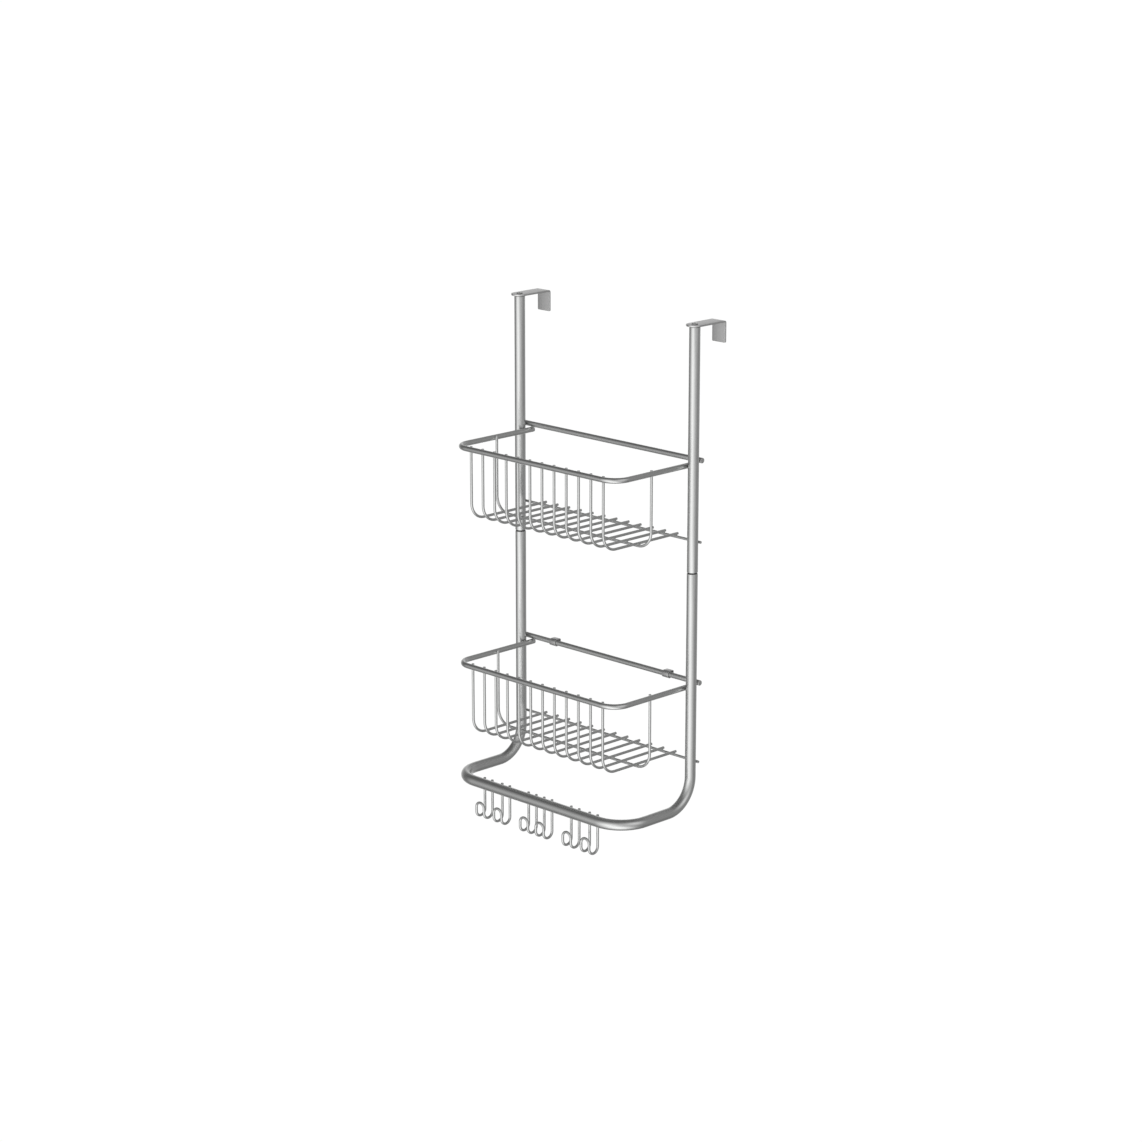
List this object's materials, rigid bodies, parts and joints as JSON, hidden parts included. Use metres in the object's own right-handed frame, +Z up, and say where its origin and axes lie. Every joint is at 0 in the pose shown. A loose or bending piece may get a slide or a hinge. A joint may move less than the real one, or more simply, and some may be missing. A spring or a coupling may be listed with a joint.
{
  "type": "over-door shower caddy",
  "caption": "Over-door shower caddy: two wire baskets on round tubes with flat door hooks above and a bent towel bar with small wire razor hooks below.",
  "frame": {"origin": "midway between the two upright tubes' axes, level with the undersides of the hook plates, which is the height of the door's top edge", "axes": "+X to the right seen from the front, -Y to the front (the user), +Y to the door, +Z up"},
  "size_m": [0.3, 0.1626, 0.6111],
  "materials": {
    "satin_tube": "satin nickel plating on round tube",
    "satin_rod": "satin nickel plating on thick wire",
    "satin_wire": "satin nickel plating on thin wire",
    "satin_strap": "satin nickel plating on flat strip, brushed along its length",
    "screw_steel": "plain bright steel",
    "black_plastic": "moulded, dull"
  },
  "bodies": {
    "upper_frame": {"upper_tube_left": "satin_tube", "upper_tube_right": "satin_tube", "joint_spigot_left": "black_plastic", "joint_spigot_right": "black_plastic", "tube_insert_left": "screw_steel", "tube_insert_right": "screw_steel", "hook_screw_left": "screw_steel", "hook_screw_right": "screw_steel", "rim_upper": "satin_rod", "back_rail_upper": "satin_rod", "floor_rod_upper": "satin_wire", "cross_wire_upper": "satin_wire", "front_wire_upper_01": "satin_wire", "front_wire_upper_02": "satin_wire", "front_wire_upper_03": "satin_wire", "front_wire_upper_04": "satin_wire", "front_wire_upper_05": "satin_wire", "front_wire_upper_06": "satin_wire", "front_wire_upper_07": "satin_wire", "front_wire_upper_08": "satin_wire", "front_wire_upper_09": "satin_wire", "front_wire_upper_10": "satin_wire", "front_wire_upper_11": "satin_wire", "front_wire_upper_12": "satin_wire"},
    "lower_frame": {"lower_frame_tube": "satin_tube", "rim_lower": "satin_rod", "back_rail_lower": "satin_rod", "floor_rod_lower": "satin_wire", "cross_wire_lower": "satin_wire", "front_wire_lower_01": "satin_wire", "front_wire_lower_02": "satin_wire", "front_wire_lower_03": "satin_wire", "front_wire_lower_04": "satin_wire", "front_wire_lower_05": "satin_wire", "front_wire_lower_06": "satin_wire", "front_wire_lower_07": "satin_wire", "front_wire_lower_08": "satin_wire", "front_wire_lower_09": "satin_wire", "front_wire_lower_10": "satin_wire", "front_wire_lower_11": "satin_wire", "front_wire_lower_12": "satin_wire", "razor_hook_1": "satin_wire", "razor_hook_2": "satin_wire", "razor_hook_3": "satin_wire", "razor_hook_4": "satin_wire", "razor_hook_5": "satin_wire", "razor_hook_6": "satin_wire"},
    "hook_left": {"hook_plate_left": "satin_strap"},
    "hook_right": {"hook_plate_right": "satin_strap"},
    "clip_left": {"rail_clip_left": "satin_strap"},
    "clip_right": {"rail_clip_right": "satin_strap"}
  },
  "joints": [
    {"name": "hook_left_swivel", "type": "hinge", "parent": "upper_frame", "child": "hook_left", "pos_m": [-0.14, 0, 0], "axis": [0, 0, 1], "range_deg": [-90, 90]},
    {"name": "hook_right_swivel", "type": "hinge", "parent": "upper_frame", "child": "hook_right", "pos_m": [0.14, 0, 0], "axis": [0, 0, 1], "range_deg": [-90, 90]},
    {"name": "lower_frame_pull", "type": "slide", "parent": "upper_frame", "child": "lower_frame", "axis": [0, 0, -1], "range_m": [0, 0.03]},
    {"name": "clip_left_slide", "type": "slide", "parent": "lower_frame", "child": "clip_left", "axis": [1, 0, 0], "range_m": [-0.027, 0.085]},
    {"name": "clip_right_slide", "type": "slide", "parent": "lower_frame", "child": "clip_right", "axis": [1, 0, 0], "range_m": [-0.085, 0.027]}
  ]
}
